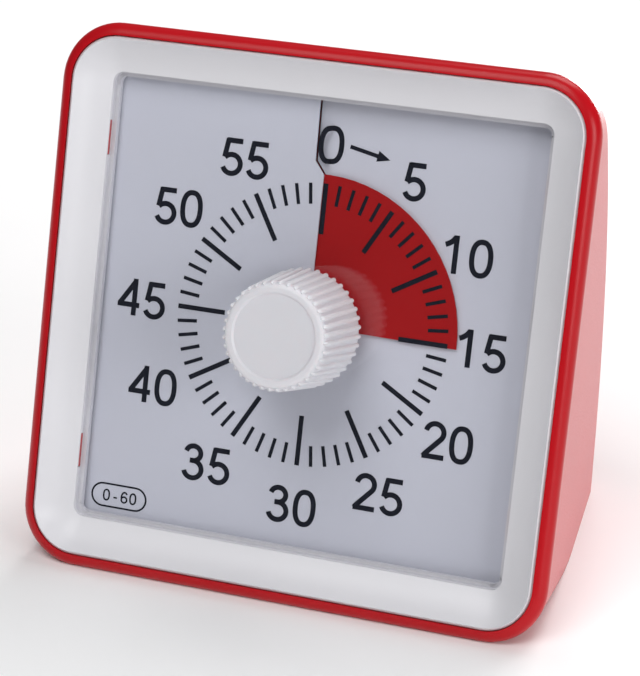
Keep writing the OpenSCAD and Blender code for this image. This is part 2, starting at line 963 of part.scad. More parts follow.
module movement_front() {
    color("gainsboro")
        on_face()
            difference() {
                union() {
                    translate([0, 0, move_join])
                        linear_extrude(move_front_z - move_join)
                            difference() {
                                move_outline(0);
                                move_outline(move_wall);
                            }
                    translate([0, 0, move_front_z - move_plate])
                        linear_extrude(move_plate)
                            move_outline(0);
                    at_move_screws()
                        translate([0, 0, move_join])
                            cylinder(h = move_front_z - move_join, r = 2.2);
                    // posts that carry the stator and the board
                    for (x = [stator_l + stator_arm / 2, stator_r - stator_arm / 2])
                        translate([x, 2, coil_z + stator_t / 2])
                            cylinder(h = move_front_z - coil_z - stator_t / 2 - 0.5, r = 1);
                    for (p = [[-10, 12.2], [6.5, 12.2], [-22, 4.6]])
                        translate([p[0], p[1], board_z + board_t])
                            cylinder(h = move_front_z - board_z - board_t - 0.5, r = 0.9);
                }
                at_arbors()
                    translate([0, 0, move_front_z - 4])
                        cylinder(h = 4 - 0.2, r = arbor_r + run_gap, $fn = 32);
                translate([0, 0, move_front_z - 4])
                    cylinder(h = 8, r = shaft_r + 0.3);
                at_move_screws()
                    translate([0, 0, move_join - 1])
                        cylinder(h = 20, r = 1.05);
            }
}

module movement_rear() {
    color("gainsboro")
        on_face()
            difference() {
                union() {
                    translate([0, 0, move_back])
                        linear_extrude(move_plate)
                            move_outline(0);
                    translate([0, 0, move_back])
                        linear_extrude(move_join - move_back)
                            difference() {
                                move_outline(0);
                                move_outline(move_wall);
                            }
                    at_move_screws()
                        translate([0, 0, move_back])
                            cylinder(h = move_join - move_back, r = 2.2);
                }
                at_arbors()
                    translate([0, 0, move_back + 0.3])
                        cylinder(h = 3, r = arbor_r + run_gap, $fn = 32);
                translate([0, 0, move_back + 0.3])
                    cylinder(h = 3, r = pivot_r + run_gap);
                at_move_screws()
                    translate([0, 0, move_back - 1])
                        cylinder(h = 8, r = 1.05);
                // way in for the leads
                for (x = [lead_in_x, lead_in_x + 4])
                    translate([x, lead_in_y, move_back - 1])
                        cylinder(h = 4, r = lead_r + 0.15);
            }
}
module movement_screws() {
    color("silver")
        on_face()
            at_move_screws() {
                translate([0, 0, move_back - 1])
                    cylinder(h = 1, r = 1.7);
                translate([0, 0, move_back - 0.5])
                    cylinder(h = tray_back + 1 - move_back + 0.5, r = 0.75);
            }
}

module circuit_board() {
    color("seagreen")
        on_face()
            translate([move_l + 1.5, 3.2, board_z])
                difference() {
                    cube([33, 10, board_t]);
                    translate([1.5, 8.4, -1])
                        cylinder(h = 3, r = 2.5);
                }
}

module control_chip() {
    color("black")
        on_face()
            translate([-13, 5.6, board_z + board_t])
                cube([6.4, 5.2, 1.1]);
}

module quartz_crystal() {
    color("silver")
        on_face()
            translate([-3, 10.4, board_z + board_t + 1.05])
                rotate([0, 90, 0])
                    cylinder(h = 6, r = 1.05, $fn = 32);
}

module buzzer() {
    color("dimgray")
        on_back(sound_x, sound_a)
            translate([0, 0, -case_wall - 3.6])
                difference() {
                    cylinder(h = 3.6, r = sound_r);
                    translate([0, 0, 3])
                        cylinder(h = 1, r = sound_r - 1);
                    translate([0, 0, 2])
                        cylinder(h = 3, r = 1.2);
                }
}

module battery() {
    color("steelblue")
        translate([0, cell_y, cell_z])
            rotate([0, 90, 0])
                rotate_extrude()
                    polygon([[0, -cell_l / 2], [cell_r - 1.2, -cell_l / 2],
                        [cell_r - 0.9, -cell_l / 2 + 0.3], [cell_r, -cell_l / 2 + 0.3],
                        [cell_r, cell_l / 2 - 1.3], [cell_r - 1, cell_l / 2 - 1],
                        [2.75, cell_l / 2 - 1], [2.75, cell_l / 2], [0, cell_l / 2]]);
}

// Contact blade in the bay's end, with a tab up through the bay's roof
module contact_blade(side) {
    at = bay_end - 0.45;
    translate([side > 0 ? at : -at - 0.4, cell_y - 4.5, cell_z - 4.5])
        cube([0.4, 9, 9]);
    translate([side > 0 ? at : -at - 0.4, cell_y - 4.5, cell_z])
        cube([0.4, 3, bay_in + bay_wall + tab_up]);
}

module contact_positive() {
    color("silver") {
        contact_blade(1);
        translate([cell_l / 2 + 0.05, cell_y, cell_z])
            rotate([0, 90, 0])
                cylinder(h = bay_end - cell_l / 2 - 0.4, r = 2.2);
    }
}

module contact_negative() {
    e = bay_end - 0.45;
    c = cell_l / 2 + 0.05;
    color("silver") {
        contact_blade(-1);
        translate([0, cell_y + 2.5, cell_z])
            rotate([90, 0, 0])
                linear_extrude(5)
                    polygon([[-e - 0.1, 4], [-e - 0.1, 3.5], [-c - 0.35, 1.4], [-c - 0.35, -1.4],
                        [-e + 0.2, -3.6], [-e + 0.6, -3.6], [-c, -1.5], [-c, 1.5]]);
    }
}

// Points of one ring of a lead at point p, square to the direction t
function lead_ring(p, t) = let (u = cross(t, lead_side) / norm(cross(t, lead_side)),
        v = cross(t, u) / norm(cross(t, u)))
    [for (k = [0 : lead_n - 1])
        p + lead_r * (cos(k * 360 / lead_n) * u + sin(k * 360 / lead_n) * v)];

function along(pts, i) = let (a = pts[max(i - 1, 0)], b = pts[min(i + 1, len(pts) - 1)])
    (b - a) / norm(b - a);

// A lead swept along its route as one tube
module lead(pts) {
    n = len(pts);
    rings = [for (i = [0 : n - 1]) each lead_ring(pts[i], along(pts, i))];
    walls = [for (i = [0 : n - 2]) for (k = [0 : lead_n - 1])
        let (k2 = (k + 1) % lead_n, a = i * lead_n, b = a + lead_n) each [
            [a + k, a + k2, b + k2], [a + k, b + k2, b + k]]];
    first = [for (k = [1 : lead_n - 2]) [0, k + 1, k]];
    last = (n - 1) * lead_n;
    end = [for (k = [1 : lead_n - 2]) [last, last + k, last + k + 1]];
    polyhedron(rings, concat(walls, first, end), convexity = 4);
}

// A point of the dial frame in the upright frame
function up(x, y, z) = [x, dial_y + y * sin(lean) - z * cos(lean),
    dial_z + y * cos(lean) + z * sin(lean)];

// Route from a contact's tab, round into the movement and on to the board
function lead_route(x, to) = let (y = cell_y - 3, z = cell_z + bay_in + bay_wall + tab_up + 0.05)
    [[x, y, z], [x, y, z + 2], [x * 0.93, y - 0.7, z + 4], [x * 0.8, y - 1.5, z + 5],
        up(to, lead_in_y - 3, move_back - 2.6), up(to, lead_in_y - 1, move_back - 2.2),
        up(to, lead_in_y, move_back - 1), up(to, lead_in_y, board_z - 0.02)];

module lead_positive() {
    color("red")
        lead(lead_route(bay_end - 0.25, lead_in_x + 4));
}

module lead_negative() {
    color("black")
        lead(lead_route(-bay_end + 0.25, lead_in_x));
}

module battery_door() {
    color("red")
        difference() {
            union() {
                door_patch(door_t, 0);
                door_hinge(hinge_in, door_w / 2);
                door_hinge(door_pin, door_w / 2 + 1.6);
                // catch rib inside the upper edge
                intersection() {
                    on_face()
                        curved_back(door_t / 2);
                    translate([-5, door_axis_y - 3.4, cell_z + bay_in - 1.8])
                        cube([10, 10, 1.2]);
                }
            }
            // finger grooves
            for (i = [0 : 3])
                translate([-9, 0, 0])
                    finger_groove(door_top - 3.2 - 1.9 * i);
        }
}

module finger_groove(z) {
    a = asin((z - arc_wz) / back_r);
    translate([0, arc_wy + (back_r + 0.35) * cos(a), z])
        rotate([0, 90, 0])
            cylinder(h = 18, r = 0.8, $fn = 32);
}

module switch_body() {
    color("dimgray")
        on_back(switch_x, switch_a)
            translate([-5.8, -2.8, -case_wall - 5.4])
                difference() {
                    cube([11.6, 5.6, 4]);
                    translate([1.4, 1.2, 1.2])
                        cube([8.8, 3.2, 4]);
                }
}

module switch_slider() {
    color("white")
        on_back(switch_x, switch_a) {
            translate([-1.8 - 1.6, -1.2, -case_wall - 1.2])
                cube([3.6, 2.4, case_wall + 2]);
            translate([-5.4 + 0.4 - 0.2, -2.5, -case_wall - 1.2])
                cube([6.8, 5, 1]);
            for (i = [-1 : 1])
                translate([-1.6 + i * 1.1 - 0.25, -1.2, 0.7])
                    cube([0.5, 2.4, 0.4]);
        }
}

module case_screws() {
    color("silver")
        on_face()
            at_bosses() {
                translate([0, 0, boss_z - gap / 2 - floor_t - 1.8])
                    difference() {
                        cylinder(h = 1.8, r = screw_head);
                        for (q = [0, 90])
                            rotate([0, 0, q])
                                translate([-1.6, -0.3, -1])
                                    cube([3.2, 0.6, 1.9]);
                    }
                translate([0, 0, boss_z - gap / 2 - floor_t - 0.5])
                    cylinder(h = 6.6, r = screw_r - 0.15);
            }
}

rear_shell();
front_bezel();
window();
dial_card();
dial_tray();
time_disc();
disc_hub();
knob();
spindle();
centre_wheel();
clutch_washer();
retaining_clip();
third_wheel();
fourth_wheel();
intermediate_wheel();
rotor();
stator();
coil_bobbin();
coil_winding();
movement_front();
movement_rear();
movement_screws();
circuit_board();
control_chip();
quartz_crystal();
buzzer();
battery();
contact_positive();
contact_negative();
lead_positive();
lead_negative();
battery_door();
switch_body();
switch_slider();
case_screws();
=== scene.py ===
import math

import bmesh
import bpy
from mathutils import Matrix, Vector


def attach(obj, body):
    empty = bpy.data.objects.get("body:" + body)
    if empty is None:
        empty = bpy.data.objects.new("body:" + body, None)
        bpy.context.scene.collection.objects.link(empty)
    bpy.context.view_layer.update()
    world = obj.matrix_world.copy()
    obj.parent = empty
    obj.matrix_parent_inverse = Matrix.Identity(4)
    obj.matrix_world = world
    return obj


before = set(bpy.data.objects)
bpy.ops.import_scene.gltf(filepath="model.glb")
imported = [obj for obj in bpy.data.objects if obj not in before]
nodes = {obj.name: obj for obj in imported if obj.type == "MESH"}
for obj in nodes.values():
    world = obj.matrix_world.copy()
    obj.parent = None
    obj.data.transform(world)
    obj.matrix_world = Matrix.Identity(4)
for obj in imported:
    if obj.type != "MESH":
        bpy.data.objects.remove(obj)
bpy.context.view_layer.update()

# Lengths are in metres. Places on the dial are in scale units, in the face's own plane (x right, y up
# the face, z towards the viewer, zero on the dial card), and faceToWorld carries them to the frame.
mm = 0.001
scaleUnit = 20.0 * mm  # middle radius of the minute scale
degreesPerMinute = 6.0

face = {
    "centre": (0.0, -0.0095351, 0.0385083),  # where the spindle meets the card
    "lean": math.radians(18),
    "climb": 1.2 * mm,  # how far card and disc rise in one turn
    "minutesSet": 15,
}
leanSin, leanCos = math.sin(face["lean"]), math.cos(face["lean"])
faceNormal = Vector((0, -leanCos, leanSin))
faceToWorld = Matrix((
    (1, 0, 0, face["centre"][0]),
    (0, leanSin, -leanCos, face["centre"][1]),
    (0, leanCos, leanSin, face["centre"][2]),
    (0, 0, 0, 1),
))

# The camera stands at the photograph's angle
cameraSetup = {
    "place": (6.010, -16.484, 8.182),  # from the dial's centre, in scale units
    "aim": (-0.3061, 0.8509, -0.4269),
    "lens": 136.94,
    "sensor": 36,
    "nearest": 0.01,
    "farthest": 20,
}


def placeCamera(setup):
    data = bpy.data.cameras.new("camera")
    data.lens = setup["lens"]
    data.sensor_width = setup["sensor"]
    data.clip_start = setup["nearest"]
    data.clip_end = setup["farthest"]
    camera = bpy.data.objects.new("camera", data)
    bpy.context.scene.collection.objects.link(camera)
    aim = Vector(setup["aim"]).normalized()
    right = aim.cross(Vector((0, 0, 1))).normalized()
    above = right.cross(aim)
    place = Vector(face["centre"]) + Vector(setup["place"]) * scaleUnit
    turn = Matrix((right, above, -aim)).transposed().to_4x4()
    camera.matrix_world = Matrix.Translation(place) @ turn
    bpy.context.scene.camera = camera


placeCamera(cameraSetup)
print("camera placed")


# sRGB hex to the renderer's linear colour
def linear(hexColour):
    channels = [int(hexColour[i:i + 2], 16) / 255 for i in (1, 3, 5)]
    return tuple(c / 12.92 if c <= 0.04045 else ((c + 0.055) / 1.055) ** 2.4 for c in channels) + (1.0,)


def shade(colour, factor):
    return tuple(min(1.0, c * factor) for c in colour[:3]) + (1.0,)


# values holds what goes into each input, a number or another node's output
def addNode(tree, kind, values=None, **settings):
    node = tree.nodes.new(kind)
    for name, value in settings.items():
        setattr(node, name, value)
    for name, value in (values or {}).items():
        socket = node.inputs[name]
        if isinstance(value, bpy.types.NodeSocket):
            tree.links.new(value, socket)
        else:
            socket.default_value = value
    return node


def startMaterial(name):
    material = bpy.data.materials.new(name)
    material.use_nodes = True
    tree = material.node_tree
    tree.nodes.clear()
    place = addNode(tree, "ShaderNodeTexCoord").outputs["Object"]
    return material, tree, place


def closeSurface(tree, surface):
    shader = addNode(tree, "ShaderNodeBsdfPrincipled", surface)
    addNode(tree, "ShaderNodeOutputMaterial", {"Surface": shader.outputs["BSDF"]})


# The colour drifts a little, as in any moulded or printed surface
def cloudyColour(tree, place, colour, spread, scale):
    cloud = addNode(tree, "ShaderNodeTexNoise", {"Vector": place, "Scale": scale, "Detail": 2.0})
    mix = addNode(tree, "ShaderNodeMix", {
        "Factor": cloud.outputs["Fac"], "A": shade(linear(colour), 1 - spread),
        "B": shade(linear(colour), 1 + spread)}, data_type="RGBA")
    return mix.outputs["Result"]


grainLook = {"detail": 3.0, "strength": 0.6, "roughnessSpread": 0.06, "cloudsPerMetre": 45.0}


# Matt or satin surface: grain is the size of its texture and depth the texture's height
def grainyFinish(name, colour, roughness, grain, depth, spread=0.04, **surface):
    material, tree, place = startMaterial(name)
    noise = addNode(tree, "ShaderNodeTexNoise", {
        "Vector": place, "Scale": 1 / grain, "Detail": grainLook["detail"]})
    rough = addNode(tree, "ShaderNodeMapRange", {
        "Value": noise.outputs["Fac"], "To Min": roughness - grainLook["roughnessSpread"],
        "To Max": roughness + grainLook["roughnessSpread"]})
    bump = addNode(tree, "ShaderNodeBump", {
        "Height": noise.outputs["Fac"], "Distance": depth, "Strength": grainLook["strength"]})
    closeSurface(tree, {
        "Base Color": cloudyColour(tree, place, colour, spread, grainLook["cloudsPerMetre"]),
        "Roughness": rough.outputs["Result"], "Normal": bump.outputs["Normal"], **surface})
    return material


toolMarks = {"detail": 4.0, "depth": 0.02 * mm, "strength": 0.4, "smoother": 0.08, "rougher": 0.1}


# Metal with tool marks: lineSize is their spacing, and stretch packs them closer along an axis
def finishedMetal(name, colour, roughness, lineSize, stretch):
    material, tree, place = startMaterial(name)
    scaled = addNode(tree, "ShaderNodeMapping", {"Vector": place, "Scale": stretch})
    marks = addNode(tree, "ShaderNodeTexNoise", {
        "Vector": scaled.outputs["Vector"], "Scale": 1 / lineSize, "Detail": toolMarks["detail"]})
    rough = addNode(tree, "ShaderNodeMapRange", {
        "Value": marks.outputs["Fac"], "To Min": roughness - toolMarks["smoother"],
        "To Max": roughness + toolMarks["rougher"]})
    bump = addNode(tree, "ShaderNodeBump", {
        "Height": marks.outputs["Fac"], "Distance": toolMarks["depth"], "Strength": toolMarks["strength"]})
    closeSurface(tree, {
        "Base Color": linear(colour), "Metallic": 1.0,
        "Roughness": rough.outputs["Result"], "Normal": bump.outputs["Normal"]})
    return material


caseFinish = {
    "colour": "#b90f1a",
    "spread": 0.06,
    "cloudsPerMetre": 30.0,
    "ior": 1.55,
    "rimRoughness": 0.28,
    "rimGloss": 0.2,
    "sideRoughness": 0.45,
    "sideGloss": 1.0,
    "sideVeil": 0.16,  # pale veil that the texture gives the sides when seen at a slant
    "veilRoughness": 0.4,
    "rimEdge": 3.9 * mm,  # the polished rim ends this far above the card
    "rimBlend": 0.2 * mm,
    "grain": 0.42 * mm,  # spark-eroded texture, drawn coarser than the real 0.1 mm so that it shows
    "depth": 0.05 * mm,
    "strength": 0.8,
}


# ABS moulded in a spark-eroded tool: matt, glittering sides, and a polished rim round the face
def caseMaterial(finish):
    material, tree, place = startMaterial("redAbsSparkTextured")
    shift = addNode(tree, "ShaderNodeVectorMath", {0: place, 1: face["centre"]}, operation="SUBTRACT")
    height = addNode(tree, "ShaderNodeVectorMath", {
        0: shift.outputs[0], 1: faceNormal}, operation="DOT_PRODUCT")
    side = addNode(tree, "ShaderNodeMapRange", {
        "Value": height.outputs["Value"], "From Min": finish["rimEdge"] + finish["rimBlend"],
        "From Max": finish["rimEdge"] - finish["rimBlend"]}).outputs["Result"]
    gloss = addNode(tree, "ShaderNodeMix", {
        "Factor": side, "A": finish["rimGloss"], "B": finish["sideGloss"]}, data_type="FLOAT")
    rough = addNode(tree, "ShaderNodeMix", {
        "Factor": side, "A": finish["rimRoughness"], "B": finish["sideRoughness"]}, data_type="FLOAT")
    veil = addNode(tree, "ShaderNodeMath", {0: side, 1: finish["sideVeil"]}, operation="MULTIPLY")
    grain = addNode(tree, "ShaderNodeTexNoise", {
        "Vector": place, "Scale": 1 / finish["grain"], "Detail": 2.0})
    pits = addNode(tree, "ShaderNodeTexVoronoi", {"Vector": place, "Scale": 1 / finish["grain"]})
    spark = addNode(tree, "ShaderNodeMath", {
        0: grain.outputs["Fac"], 1: pits.outputs["Distance"]}, operation="ADD")
    relief = addNode(tree, "ShaderNodeMath", {0: spark.outputs[0], 1: side}, operation="MULTIPLY")
    bump = addNode(tree, "ShaderNodeBump", {
        "Height": relief.outputs[0], "Distance": finish["depth"], "Strength": finish["strength"]})
    closeSurface(tree, {
        "Base Color": cloudyColour(tree, place, finish["colour"], finish["spread"], finish["cloudsPerMetre"]),
        "IOR": finish["ior"], "Specular IOR Level": gloss.outputs["Result"],
        "Sheen Weight": veil.outputs[0], "Sheen Roughness": finish["veilRoughness"],
        "Roughness": rough.outputs["Result"], "Normal": bump.outputs["Normal"]})
    return material


windowFinish = {
    "tint": "#fdfdfe",
    "roughness": 0.03,
    "wavesPerMetre": 60.0,
    "waveDepth": 0.02 * mm,
    "waveStrength": 0.2,
    "faceOn": 0.045,  # share mirrored when looked at squarely
    "atSlant": 0.95,  # what a grazing look adds to it
    "steepness": 5.0,
}


# Clear polystyrene, polished: the card shows through and the knob is mirrored in it, alike from both sides
def windowMaterial(finish):
    material, tree, place = startMaterial("clearPolystyrene")
    wave = addNode(tree, "ShaderNodeTexNoise", {
        "Vector": place, "Scale": finish["wavesPerMetre"], "Detail": 1.0})
    bump = addNode(tree, "ShaderNodeBump", {
        "Height": wave.outputs["Fac"], "Distance": finish["waveDepth"], "Strength": finish["waveStrength"]})
    clear = addNode(tree, "ShaderNodeBsdfTransparent", {"Color": linear(finish["tint"])})
    gloss = addNode(tree, "ShaderNodeBsdfGlossy", {
        "Roughness": finish["roughness"], "Normal": bump.outputs["Normal"]})
    slant = addNode(tree, "ShaderNodeLayerWeight", {"Blend": 0.5})
    steep = addNode(tree, "ShaderNodeMath", {
        0: slant.outputs["Facing"], 1: finish["steepness"]}, operation="POWER")
    mirror = addNode(tree, "ShaderNodeMath", {
        0: steep.outputs[0], 1: finish["atSlant"], 2: finish["faceOn"]}, operation="MULTIPLY_ADD")
    mix = addNode(tree, "ShaderNodeMixShader", {
        0: mirror.outputs[0], 1: clear.outputs["BSDF"], 2: gloss.outputs["BSDF"]})
    addNode(tree, "ShaderNodeOutputMaterial", {"Surface": mix.outputs["Shader"]})
    return material


cardFinish = {
    "darker": "#d3d5df",
    "paler": "#dadce5",
    "ior": 1.45,
    "roughness": 0.5,
    "fibre": 0.3 * mm,
    "depth": 0.01 * mm,
    "strength": 0.3,
}


# Coated card: smooth pale blue-grey, with the faint unevenness of a printed sheet
def cardMaterial(finish):
    material, tree, place = startMaterial("coatedCardPaleBlue")
    fibre = addNode(tree, "ShaderNodeTexNoise", {
        "Vector": place, "Scale": 1 / finish["fibre"], "Detail": 4.0}).outputs["Fac"]
    mix = addNode(tree, "ShaderNodeMix", {
        "Factor": fibre, "A": linear(finish["darker"]), "B": linear(finish["paler"])}, data_type="RGBA")
    bump = addNode(tree, "ShaderNodeBump", {
        "Height": fibre, "Distance": finish["depth"], "Strength": finish["strength"]})
    closeSurface(tree, {
        "Base Color": mix.outputs["Result"], "IOR": finish["ior"], "Roughness": finish["roughness"],
        "Normal": bump.outputs["Normal"]})
    return material


windingFinish = {
    "colour": "#c8702f",
    "roughness": 0.3,
    "bandSize": 0.9 * mm,  # a turn about every 0.28 mm, coarser than the real wire so that it shows
    "distortion": 0.4,
    "depth": 0.1 * mm,
    "strength": 0.8,
}


# Enamelled copper wire wound in level turns: fine bright rings across the coil
def windingMaterial(finish):
    material, tree, place = startMaterial("enamelledCopperWinding")
    turns = addNode(tree, "ShaderNodeTexWave", {
        "Vector": place, "Scale": 1 / finish["bandSize"], "Distortion": finish["distortion"]})
    bump = addNode(tree, "ShaderNodeBump", {
        "Height": turns.outputs["Fac"], "Distance": finish["depth"], "Strength": finish["strength"]})
    closeSurface(tree, {
        "Base Color": linear(finish["colour"]), "Metallic": 1.0, "Roughness": finish["roughness"],
        "Normal": bump.outputs["Normal"]})
    return material


redCase = caseMaterial(caseFinish)
clearWindow = windowMaterial(windowFinish)
paleCard = cardMaterial(cardFinish)
copperWinding = windingMaterial(windingFinish)
# white ABS, moulded satin: a soft sheen that blurs what it mirrors
satinWhite = grainyFinish(
    "whiteAbsSatin", "#dedde1", roughness=0.4, grain=0.5 * mm, depth=0.004 * mm, spread=0.015)
# the knob's white ABS is chalkier than the bezel's and lets light into its ribs
lightDepth = {"Subsurface Weight": 0.6, "Subsurface Scale": 3 * mm, "Subsurface Radius": (1.0, 0.8, 0.8)}
knobWhite = grainyFinish(
    "whiteAbsKnob", "#dbdadf", roughness=0.45, grain=0.4 * mm, depth=0.006 * mm, spread=0.02, **lightDepth)
mattPrint = {"Specular IOR Level": 0.15}
# matt red sheet, printed edge to edge: deep and flat in colour
discRed = grainyFinish(
    "redPrintedSheet", "#ac070c", roughness=0.5, grain=0.3 * mm, depth=0.004 * mm, spread=0.03, **mattPrint)
# screen-printed ink: blue-black and almost matt
dialInk = grainyFinish(
    "blueBlackInk", "#0d1120", roughness=0.55, grain=0.2 * mm, depth=0.002 * mm, spread=0.1, **mattPrint)
# unfilled ABS of the movement, moulded: off-white and slightly waxy
movementWhite = grainyFinish(
    "naturalAbsMovement", "#d9d7cf", roughness=0.5, grain=0.6 * mm, depth=0.01 * mm)
# nylon of the fast wheel, moulded: warm and waxy
waxyNylon = grainyFinish(
    "naturalNylon", "#e2dcc8", roughness=0.42, grain=0.5 * mm, depth=0.008 * mm)
# black ABS of the switch and the sounder, moulded: dark with a dull shine
blackAbs = grainyFinish(
    "blackAbs", "#17181a", roughness=0.45, grain=0.4 * mm, depth=0.01 * mm, spread=0.1)
# bonded ferrite magnet, pressed: dark grey and grainy
ferrite = grainyFinish(
    "bondedFerrite", "#2c2d30", roughness=0.6, grain=0.25 * mm, depth=0.02 * mm, spread=0.2)
# solder mask printed over copper: glossy green with darker and paler patches
solderMask = grainyFinish(
    "greenSolderMask", "#0f5a34", roughness=0.3, grain=0.9 * mm, depth=0.02 * mm, spread=0.25)
# epoxy of the control chip, moulded: flat black with a fine grain
chipEpoxy = grainyFinish(
    "blackEpoxy", "#1b1b1d", roughness=0.55, grain=0.15 * mm, depth=0.01 * mm, spread=0.1)
# nylon of the coil's bobbin, moulded: dark green and satin
bobbinNylon = grainyFinish(
    "greenNylon", "#274634", roughness=0.45, grain=0.4 * mm, depth=0.01 * mm)
# PVC sleeves of the two leads, drawn: soft, even sheen
redPvc = grainyFinish(
    "redPvc", "#b3231f", roughness=0.4, grain=0.4 * mm, depth=0.01 * mm)
blackPvc = grainyFinish(
    "blackPvc", "#1c1c1e", roughness=0.4, grain=0.4 * mm, depth=0.01 * mm, spread=0.1)
# PVC shrink jacket of the battery: plain blue with a broad, slightly wavy gloss
shrinkJacket = grainyFinish(
    "shrinkJacketBlue", "#2b4a7c", roughness=0.28, grain=1.5 * mm, depth=0.01 * mm, spread=0.08)
# steel turned on a lathe: fine bright rings
turnedSteel = finishedMetal("turnedSteel", "#c9c9cc", roughness=0.28, lineSize=0.3 * mm, stretch=(1, 1, 6))
# zinc-plated steel: even and slightly cloudy
zincScrew = finishedMetal("zincPlatedSteel", "#c4c6ca", roughness=0.34, lineSize=0.4 * mm, stretch=(1, 1, 1))
# steel with a black oxide: dark and oiled
blackOxide = finishedMetal("blackOxideSteel", "#3a3b3e", roughness=0.42, lineSize=0.3 * mm, stretch=(1, 1, 1))
# brass stamped from rolled sheet: warm, with a straight grain
stampedBrass = finishedMetal("stampedBrass", "#d9b765", roughness=0.3, lineSize=0.35 * mm, stretch=(5, 1, 1))
# phosphor bronze, rolled hard: redder than the brass, with a fine grain
springBronze = finishedMetal("rolledBronze", "#c08a52", roughness=0.3, lineSize=0.35 * mm, stretch=(1, 5, 1))
# nickel plate on spring steel: bright and slightly yellow
nickelPlate = finishedMetal("nickelPlate", "#cfccc2", roughness=0.22, lineSize=0.5 * mm, stretch=(1, 1, 4))
# silicon steel laminations, annealed: dull grey
electricalSteel = finishedMetal(
    "electricalSteel", "#8e9196", roughness=0.4, lineSize=0.3 * mm, stretch=(1, 4, 1))
# steel can of the crystal, deep drawn: bright, with faint drawing marks
crystalCan = finishedMetal("drawnSteelCan", "#c8c9cc", roughness=0.2, lineSize=0.4 * mm, stretch=(6, 1, 1))

nodeFinish = {
    "rear_shell": redCase, "battery_door": redCase, "dial_tray": redCase,
    "front_bezel": satinWhite, "window": clearWindow, "dial_card": paleCard,
    "time_disc": discRed, "disc_hub": satinWhite, "knob": knobWhite,
    "spindle": turnedSteel, "centre_wheel": stampedBrass, "clutch_washer": springBronze,
    "retaining_clip": blackOxide, "third_wheel": stampedBrass, "fourth_wheel": stampedBrass,
    "intermediate_wheel": waxyNylon, "rotor": ferrite, "stator": electricalSteel,
    "coil_bobbin": bobbinNylon, "coil_winding": copperWinding,
    "movement_front": movementWhite, "movement_rear": movementWhite, "movement_screws": zincScrew,
    "circuit_board": solderMask, "control_chip": chipEpoxy, "quartz_crystal": crystalCan,
    "buzzer": blackAbs, "battery": shrinkJacket, "contact_positive": nickelPlate,
    "contact_negative": nickelPlate, "lead_positive": redPvc, "lead_negative": blackPvc,
    "switch_body": blackAbs, "switch_slider": satinWhite, "case_screws": zincScrew,
}
for name, node in nodes.items():
    node.data.materials.clear()
    node.data.materials.append(nodeFinish[name])
print("materials on", len(nodes), "CAD pieces")


# Height above the card's plane on the ramp that card and disc follow
def rampHeight(x, y, above):
    clockDegrees = math.degrees(math.atan2(x, y)) % 360
    return face["climb"] * (clockDegrees / 360 - 1) + above


def onCard(x, y, height):
    return Vector((x, y, rampHeight(x, y, height)))


def pieceFromMesh(name, mesh, material, body):
    mesh.transform(faceToWorld)
    mesh.update()
    mesh.materials.clear()
    mesh.materials.append(material)
    piece = bpy.data.objects.new(name, mesh)
    bpy.context.scene.collection.objects.link(piece)
    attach(piece, body)


# Angles are in degrees from the top and radii and widths in scale units. skipEvery leaves the
# places of the long ticks free.
tickRing = {
    "long": {"count": 12, "first": 0.0, "step": 30.0, "skipEvery": 13.0,
             "inner": 0.695, "outer": 1.078, "width": 0.037},
    "short": {"count": 60, "first": 6.0, "step": 6.0, "skipEvery": 5.0,
              "inner": 0.92, "outer": 1.078, "width": 0.027},
    "ink": 0.03 * mm,  # thicker than real ink, so that it stays clear of the facets below
    "sheet": 0.3 * mm,
    "lift": 0.3 * mm,
}
tickInputs = {
    "Count": "NodeSocketInt", "First angle": "NodeSocketFloat", "Step": "NodeSocketFloat",
    "Skip every": "NodeSocketFloat", "Inner radius": "NodeSocketFloat", "Outer radius": "NodeSocketFloat",
    "Width": "NodeSocketFloat", "Thickness": "NodeSocketFloat", "Climb": "NodeSocketFloat",
    "Height": "NodeSocketFloat", "Ink": "NodeSocketMaterial",
}


